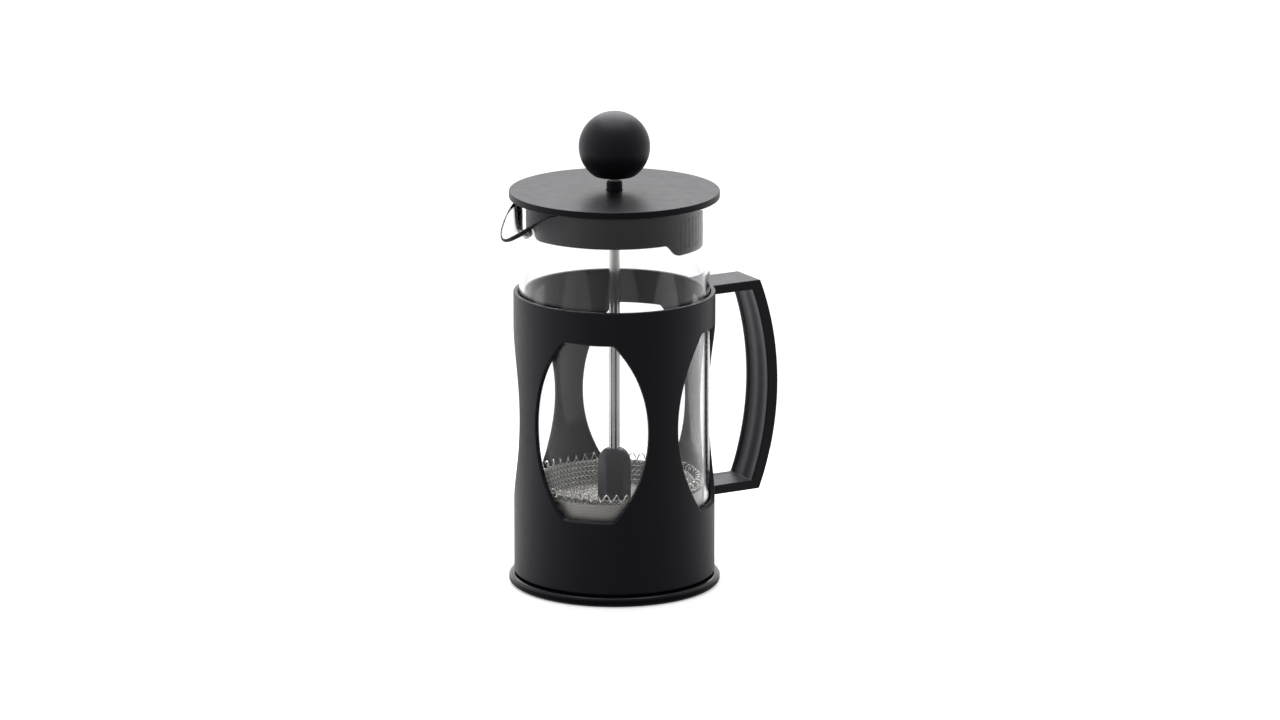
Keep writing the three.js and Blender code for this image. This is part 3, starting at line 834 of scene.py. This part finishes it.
def make_bush():
    """Collar round the rod, with its flange under the strainer's web."""
    low_z, high_z = heights_of("rod_guide_bush")
    flange = radius_of("rod_guide_bush")
    flange_top = low_z + BUSH_FLANGE
    corners = [(BUSH_BORE, low_z, BUSH_EDGE), (flange, low_z, BUSH_EDGE), (flange, flange_top, BUSH_EDGE),
               (BUSH_NECK, flange_top, BUSH_EDGE), (BUSH_NECK, high_z, BUSH_TOP_EDGE),
               (BUSH_BORE, high_z, SOFT_EDGE)]
    turned_piece("guide_bush", corners, "guide", satin_black, ["rod_guide_bush"],
                 segments=SMALL_SEGMENTS)


# ---------------- plunger

KNOB_HOLE = 3.5 * MM
SEAM_DEPTH = 0.06 * MM
SEAM_HALF = 0.14 * MM
KNOB_FOOT_EDGE = 0.7 * MM
KNOB_LOWER_STEPS = 30
KNOB_UPPER_STEPS = 48


def make_knob():
    """Ball with a flat underside and the fine seam that its two mould halves leave."""
    low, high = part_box("knob")
    ball = high.x
    centre_z = high.z - ball
    _, hole_top = heights_of("knob_insert")
    low_angle = math.asin((low.z - centre_z) / ball)
    seam = SEAM_HALF / ball
    below = arc((0, centre_z), ball, low_angle, -seam, KNOB_LOWER_STEPS)
    above = arc((0, centre_z), ball, seam, math.pi / 2, KNOB_UPPER_STEPS)
    # The rounded corner of the flat takes the place of the ball's first four points.
    hole = rounded([(0, hole_top, 0), (KNOB_HOLE, hole_top, SOFT_EDGE), (KNOB_HOLE, low.z, SOFT_EDGE),
                    (*below[0], KNOB_FOOT_EDGE), (*below[3], 0)], steps=5)
    profile = hole + below[4:] + [(ball - SEAM_DEPTH, centre_z)] + above[:-1] + [(0, high.z)]
    bm = bmesh.new()
    lathe(bm, profile)
    make_piece("ball_knob", bm, "plunger", satin_black, ["knob"], sharp=60)


INSERT_BORE = 2.1 * MM


def make_insert():
    """Brass sleeve in the knob, round the rod's end."""
    corners = ring_section(INSERT_BORE, radius_of("knob_insert"), *heights_of("knob_insert"))
    turned_piece("threaded_insert", corners, "plunger", brass, ["knob_insert"],
                 segments=SMALL_SEGMENTS)


STUD_R = 1.6 * MM
THREAD_PITCH = 0.7 * MM
THREAD_DEPTH = 0.22 * MM


def make_rod():
    """Straight rod with a broken top edge and a thinner threaded stud at its foot."""
    low_z, high_z = heights_of("plunger_rod")
    rod = radius_of("plunger_rod")
    step_z = heights_of("filter_boss")[0] + FASTENED_GAP
    corners = [(0, low_z, 0)]
    z = low_z
    while z < step_z - THREAD_PITCH:
        corners += [(STUD_R - THREAD_DEPTH, z, 0), (STUD_R, z + THREAD_PITCH / 2, 0)]
        z += THREAD_PITCH
    corners += [(STUD_R, step_z, 0), (rod, step_z, CRISP_EDGE), (rod, high_z, SOFT_EDGE), (0, high_z, 0)]
    turned_piece("steel_rod", corners, "plunger", bright_steel, ["plunger_rod"],
                 closed=False, segments=SMALL_SEGMENTS)


BOSS_R = 6.1 * MM
BOSS_TURN = math.radians(3)
BOSS_SHOULDER_Z = 44.5 * MM
BOSS_SIDES = 6
BOSS_BORE = 2.05 * MM
BOSS_MOUTH = 0.4 * MM
BOSS_SEGMENTS = 96
DOME_STEPS = 16
BOSS_EDGE = 0.25 * MM
BOSS_EDGE_ANGLE = 30


def boss_profile(low_z, high_z):
    """Closed section of the round sleeve before its sides are cut, as (radius, height)."""
    foot = [(BOSS_BORE, low_z, 0), (BOSS_R, low_z, SOFT_EDGE), (BOSS_R, BOSS_SHOULDER_Z, 0)]
    wide, tall = BOSS_R - BOSS_BORE, high_z - BOSS_SHOULDER_Z
    dome = [(BOSS_BORE + wide * math.cos(a), BOSS_SHOULDER_Z + tall * math.sin(a))
            for a in spaced(0, math.pi / 2, DOME_STEPS)]
    mouth = [(BOSS_BORE + BOSS_MOUTH, high_z), (BOSS_BORE, high_z - SOFT_EDGE)]
    return rounded(foot, steps=3)[:-1] + dome + mouth


def cut_flat(bm, angle, distance):
    """Cuts off what stands past a plane that faces angle, and closes the cut."""
    across = Vector((math.cos(angle), math.sin(angle), 0))
    geometry = bm.verts[:] + bm.edges[:] + bm.faces[:]
    cut = bmesh.ops.bisect_plane(bm, geom=geometry, plane_no=across, clear_outer=True,
                                 plane_co=across * distance)
    rim = [part for part in cut["geom_cut"] if isinstance(part, bmesh.types.BMEdge)]
    bmesh.ops.holes_fill(bm, edges=rim)


def make_boss():
    """Hexagonal sleeve with a domed top and slightly rounded edges."""
    bm = bmesh.new()
    lathe(bm, boss_profile(*heights_of("filter_boss")), BOSS_SEGMENTS, closed=True)
    for i in range(BOSS_SIDES):
        cut_flat(bm, BOSS_TURN + TURN * i / BOSS_SIDES, BOSS_R * math.cos(math.pi / BOSS_SIDES))
    piece = make_piece("filter_boss_sleeve", bm, "plunger", nylon_grey, ["filter_boss"],
                       sharp=BOSS_EDGE_ANGLE)
    soften = piece.modifiers.new("soft_edges", "BEVEL")
    soften.width = BOSS_EDGE
    soften.segments = 3
    soften.limit_method = "ANGLE"
    soften.angle_limit = math.radians(BOSS_EDGE_ANGLE)
    soften.harden_normals = True


SPRING_PITCH = 3.67 * MM
SPRING_WIRE = 0.28 * MM
SPRING_STEPS = 26
WIRE_SIDES = 8


def make_spring():
    """Close coil bent into a ring round the filter: a helix of wire whose axis is a circle."""
    low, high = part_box("edge_spring")
    coil = (high.z - low.z) / 2 - SPRING_WIRE
    ring_radius = high.y - (high.z - low.z) / 2
    middle_z = (low.z + high.z) / 2
    coils = round(TURN * ring_radius / SPRING_PITCH)
    count = coils * SPRING_STEPS

    def around(i, radius, z):
        t = TURN * i / count
        return Vector((radius * math.cos(t), radius * math.sin(t), z))

    def centre(i):
        """Middle of the wire."""
        t = coils * (TURN * i / count)
        return around(i, ring_radius + coil * math.cos(t), middle_z + coil * math.sin(t))

    bm = bmesh.new()
    rings = []
    for i in range(count):
        here = centre(i)
        along = (centre(i + 1) - centre(i - 1)).normalized()
        out = here - around(i, ring_radius, middle_z)
        out = (out - along * out.dot(along)).normalized()
        side = along.cross(out)
        rings.append([bm.verts.new(here + (out * math.cos(a) + side * math.sin(a)) * SPRING_WIRE)
                      for a in spaced(0, TURN, WIRE_SIDES)])
    for a, b in zip(rings, rings[1:] + rings[:1]):
        for k in range(WIRE_SIDES):
            m = (k + 1) % WIRE_SIDES
            bm.faces.new((a[k], a[m], b[m], b[k]))
    make_piece("edge_coil", bm, "plunger", spring_steel, ["edge_spring"])


HOLE_PITCH = 1.7 * MM
HOLE_RADIUS = 0.42 * MM
HOLE_SIDES = 8
SHEET = 0.5 * MM
DISH_HOLE = 2.0 * MM
DISH_HUB_R = 7 * MM
DISH_HUB_RING = 0.6
DISH_WALL_WIDTH = 4.4 * MM
DISH_LIP = 0.25 * MM
DISH_LIP_RISE = 0.12 * MM
# The line runs through the middle of the sheet, this far inside the plate's box.
DISH_INSET = 0.3 * MM
DISH_RIPPLE = 0.35 * MM
# There are two pressed rings in this distance.
DISH_RIPPLE_PITCH = 6.1 * MM
DISH_FLOOR_STEPS = 60
DISH_WALL_STEPS = 16


def dish_line():
    """The dished plate's line as (radius, height): a floor with pressed rings, and a sloping wall."""
    low_z, high_z = heights_of("spiral_plate")
    rim = radius_of("spiral_plate")
    floor_r, floor_z = rim - DISH_WALL_WIDTH, low_z + DISH_INSET
    floor = []
    for i in range(DISH_FLOOR_STEPS + 1):
        r = DISH_HUB_R + (floor_r - DISH_HUB_R) * i / DISH_FLOOR_STEPS
        ripple = DISH_RIPPLE * math.sin(TURN * (r - DISH_HUB_R) / DISH_RIPPLE_PITCH) ** 2
        floor.append((r, floor_z + ripple))
    wide, tall = rim - 2 * DISH_LIP - floor_r, high_z - low_z - 2 * DISH_INSET
    shares = [i / DISH_WALL_STEPS for i in range(1, DISH_WALL_STEPS + 1)]
    return floor + [(floor_r + wide * t, floor_z + tall * t) for t in shares]


def along_line(points):
    """A function from distance along the line to (radius, height), and the line's length."""
    lengths = [0]
    for a, b in zip(points, points[1:]):
        lengths.append(lengths[-1] + math.dist(a, b))

    def at(distance):
        distance = min(max(distance, 0), lengths[-1])
        k = next((i for i in range(1, len(lengths)) if lengths[i] >= distance), len(lengths) - 1)
        t = (distance - lengths[k - 1]) / (lengths[k] - lengths[k - 1])
        return tuple(a + (b - a) * t for a, b in zip(points[k - 1], points[k]))

    return at, lengths[-1]


def perforated_ring(bm, at, middle, width, count, turn):
    """One row of round holes, each in a square cell, at a distance along the dish's line."""
    radius, _ = at(middle)
    cell = TURN / count
    for i in range(count):
        centre = (i + turn) * cell

        def spot(across, along):
            r, z = at(middle + along)
            angle = centre + across / radius
            return bm.verts.new((r * math.cos(angle), r * math.sin(angle), z))

        half = radius * cell / 2
        inner, outer = [], []
        for k in range(HOLE_SIDES):
            a = TURN * (k + 0.5) / HOLE_SIDES
            c, s = math.cos(a), math.sin(a)
            # Takes the circle's point out to the side of the square.
            reach = 1 / max(abs(c), abs(s))
            inner.append(spot(HOLE_RADIUS * c, HOLE_RADIUS * s))
            outer.append(spot(half * c * reach, width / 2 * s * reach))
        for k in range(HOLE_SIDES):
            m = (k + 1) % HOLE_SIDES
            bm.faces.new((inner[k], inner[m], outer[m], outer[k]))


def make_dish():
    """Perforated plate: rows of holes on the dish's line, a plain hub and a plain lip, then thickness."""
    line_points = dish_line()
    at, length = along_line(line_points)
    rows = int(length / HOLE_PITCH)
    width = length / rows
    bm = bmesh.new()
    for row in range(rows):
        middle = (row + 0.5) * width
        radius, _ = at(middle)
        perforated_ring(bm, at, middle, width, round(TURN * radius / HOLE_PITCH), row % 2 / 2)
    lip_r, lip_z = line_points[-1]
    hub_r, hub_z = line_points[0]
    lathe(bm, [(lip_r, lip_z), (lip_r + DISH_LIP, lip_z + DISH_LIP_RISE)])
    lathe(bm, [(DISH_HOLE, hub_z), (hub_r * DISH_HUB_RING, hub_z), (hub_r, hub_z)])
    piece = make_piece("perforated_dish", bm, "plunger", plate_steel, ["spiral_plate"],
                       sharp=60)
    sheet = piece.modifiers.new("sheet", "SOLIDIFY")
    sheet.thickness = SHEET
    sheet.offset = 0


SCREEN_SHEET = 0.45 * MM
SCREEN_BEND = 0.9 * MM
SCREEN_INNER_BEND = 0.5 * MM
SCREEN_LIP = 0.22 * MM


def make_screen():
    """Fine screen with a turned-up rim."""
    low_z, high_z = heights_of("mesh_screen")
    outer = radius_of("mesh_screen")
    inner, sheet_top = outer - SCREEN_SHEET, low_z + SCREEN_SHEET
    corners = [(STUD_HOLE, low_z, 0), (outer, low_z, SCREEN_BEND), (outer, high_z, SCREEN_LIP),
               (inner, high_z, CRISP_EDGE), (inner, sheet_top, SCREEN_INNER_BEND),
               (STUD_HOLE, sheet_top, 0)]
    turned_piece("fine_screen", corners, "plunger", mesh_steel, ["mesh_screen"])


CROSS_OPENINGS = 8
CROSS_SPOKE = 5 * MM
CROSS_HUB_R = 7.5 * MM
CROSS_BAND_R = 27.4 * MM
CROSS_CORNER = 0.8 * MM
CROSS_EDGE = 0.15 * MM
BAND_STEPS = 10
HUB_STEPS = 4


def cross_opening(turn):
    """One opening between two spokes, as a closed outline with round corners."""
    pitch = TURN / CROSS_OPENINGS
    low = math.asin(CROSS_SPOKE / 2 / CROSS_HUB_R)
    high = math.asin(CROSS_SPOKE / 2 / CROSS_BAND_R)
    far = arc((0, 0), CROSS_BAND_R, turn + high, turn + pitch - high, BAND_STEPS)
    near = arc((0, 0), CROSS_HUB_R, turn + pitch - low, turn + low, HUB_STEPS)
    corners = [(x, y, CROSS_CORNER if i in (0, BAND_STEPS) else 0) for i, (x, y) in enumerate(far)]
    return rounded(corners + [(x, y, 0) for x, y in near], closed=True, hold_share=0)


def make_cross():
    """Stamped plate of spokes under the screen."""
    low_z, high_z = heights_of("cross_plate")
    holes = [cross_opening(TURN * i / CROSS_OPENINGS) for i in range(CROSS_OPENINGS)]
    outlines = [circle(radius_of("cross_plate"), ROUND_SEGMENTS), circle(STUD_HOLE, STUD_HOLE_STEPS), *holes]
    flat_plate("spoked_plate", outlines, low_z, high_z, CROSS_EDGE, "plunger", plate_steel,
               ["cross_plate"])


NUT_SIDES = 6
NUT_EDGE = 0.25 * MM


def make_nut():
    """Hexagonal collar."""
    low_z, high_z = heights_of("filter_nut")
    hexagon = [(x, y, SOFT_EDGE) for x, y in circle(radius_of("filter_nut"), NUT_SIDES)]
    outlines = [rounded(hexagon, steps=3, closed=True, hold_share=0), circle(STUD_HOLE, STUD_HOLE_STEPS)]
    flat_plate("hex_collar", outlines, low_z, high_z, NUT_EDGE, "plunger", plate_steel,
               ["filter_nut"])


# ---------------- stage

CAMERA_AZIMUTH = math.radians(-29.55)
CAMERA_ELEVATION = math.radians(13.78)
CAMERA_DISTANCE = 2.5
CAMERA_TARGET = Vector((0, 0, 0.09))
CAMERA_LENS = 191.9
CAMERA_SHIFT = (0.0200, -0.0135)
# The surround lights the object most from behind, and least from a point this far round from the camera.
DIM_TURN = math.radians(16)
SURROUND_BACK = 1.3
SURROUND_FRONT = 0.28
SURROUND_POWER = 1.3
SURROUND_SEEN = 1.25
FLOOR_RADIUS = 0.2
FLOOR_GLOW = 0.45


def towards(azimuth, elevation):
    """Unit vector from the object to something seen at that azimuth and elevation."""
    flat = math.cos(elevation)
    return Vector((math.sin(azimuth) * flat, -math.cos(azimuth) * flat, math.sin(elevation)))


def aimed(obj, target):
    """Turns a camera or a light at a point."""
    obj.rotation_mode = "QUATERNION"
    obj.rotation_quaternion = (target - obj.location).to_track_quat("-Z", "Y")


def make_camera():
    """Camera at the photograph's viewing angle."""
    camera = bpy.data.objects.new("camera", bpy.data.cameras.new("camera"))
    scene.collection.objects.link(camera)
    camera.data.lens = CAMERA_LENS
    camera.data.shift_x, camera.data.shift_y = CAMERA_SHIFT
    camera.location = CAMERA_TARGET + towards(CAMERA_AZIMUTH, CAMERA_ELEVATION) * CAMERA_DISTANCE
    aimed(camera, CAMERA_TARGET)
    scene.camera = camera


def softbox(name, azimuth, elevation, distance, size, watts):
    """Square area light that faces the middle of the object. Angles are in degrees, lengths in metres."""
    data = bpy.data.lights.new(name, "AREA")
    data.shape = "SQUARE"
    data.size = size
    data.energy = watts
    light = bpy.data.objects.new(name, data)
    scene.collection.objects.link(light)
    light.location = CAMERA_TARGET + towards(math.radians(azimuth), math.radians(elevation)) * distance
    aimed(light, CAMERA_TARGET)


def seen_directly(n):
    """1 for what the camera sees, also through glass, and 0 for light on its way to something else."""
    path = n.add("ShaderNodeLightPath").outputs
    bounces = n.math("ADD", path["Diffuse Depth"], path["Glossy Depth"])
    through = n.math("GREATER_THAN", path["Is Transmission Ray"], bounces)
    return n.math("MAXIMUM", path["Is Camera Ray"], through)


def surround_strength(n, direction):
    """Brightness of the surround in a direction: high behind the object and low in front of it."""
    dimmest = towards(CAMERA_AZIMUTH + DIM_TURN, 0)
    facing = n.add("ShaderNodeVectorMath", {0: direction, 1: dimmest}, operation="DOT_PRODUCT")
    away = n.spread(facing.outputs["Value"], 0, 1, start=1, end=-1)
    curve = n.math("POWER", away, SURROUND_POWER)
    return n.spread(curve, SURROUND_FRONT, SURROUND_BACK, start=0, end=1)


def white_paper():
    """Shows as white paper, and lights the object as the surround does."""
    n = new_material("white_paper")
    n.shade(Base_Color=PAPER_COLOUR, Roughness=0.9, Specular_IOR_Level=0.0)
    n.shade(Emission_Color=WHITE, Emission_Strength=FLOOR_GLOW)
    place_on_floor = {"Vector": n.coordinates["Object"]}
    outward = n.add("ShaderNodeVectorMath", place_on_floor, operation="NORMALIZE").outputs[0]
    thrown = n.add("ShaderNodeEmission", {"Strength": surround_strength(n, outward)})
    sockets = {"Fac": seen_directly(n), 1: thrown.outputs[0], 2: n.shader.outputs[0]}
    mix = n.add("ShaderNodeMixShader", sockets)
    n.set(n.tree.nodes["Material Output"].inputs["Surface"], mix.outputs[0])
    return n.owner


def make_floor():
    """Pale round floor, level with the object's underside."""
    bm = bmesh.new()
    bmesh.ops.create_circle(bm, cap_ends=True, segments=ROUND_SEGMENTS, radius=FLOOR_RADIUS)
    mesh = bpy.data.meshes.new("floor")
    bm.to_mesh(mesh)
    bm.free()
    mesh.materials.append(white_paper())
    floor = bpy.data.objects.new("floor", mesh)
    scene.collection.objects.link(floor)


def make_surround():
    """White studio that lights the object from the back and the sides and is dim in front."""
    scene.world = bpy.data.worlds.new("studio")
    n = Nodes(scene.world)
    thrown = surround_strength(n, n.coordinates["Generated"])
    strength = n.add("ShaderNodeMix", {"Factor": seen_directly(n), "A": thrown, "B": SURROUND_SEEN})
    background = n.tree.nodes["Background"]
    n.set(background.inputs["Color"], WHITE)
    n.set(background.inputs["Strength"], strength.outputs["Result"])


scene.view_settings.view_transform = "Standard"
make_camera()
make_surround()
make_floor()
softbox("back", azimuth=150, elevation=42, distance=1.1, size=0.9, watts=6.5)
softbox("overhead", azimuth=150, elevation=75, distance=1.1, size=1.1, watts=10)

make_frame()
make_handle()
make_base()
make_glass()
make_lid()
make_strainer()
make_bush()
make_knob()
make_insert()
make_rod()
make_boss()
make_spring()
make_dish()
make_screen()
make_cross()
make_nut()
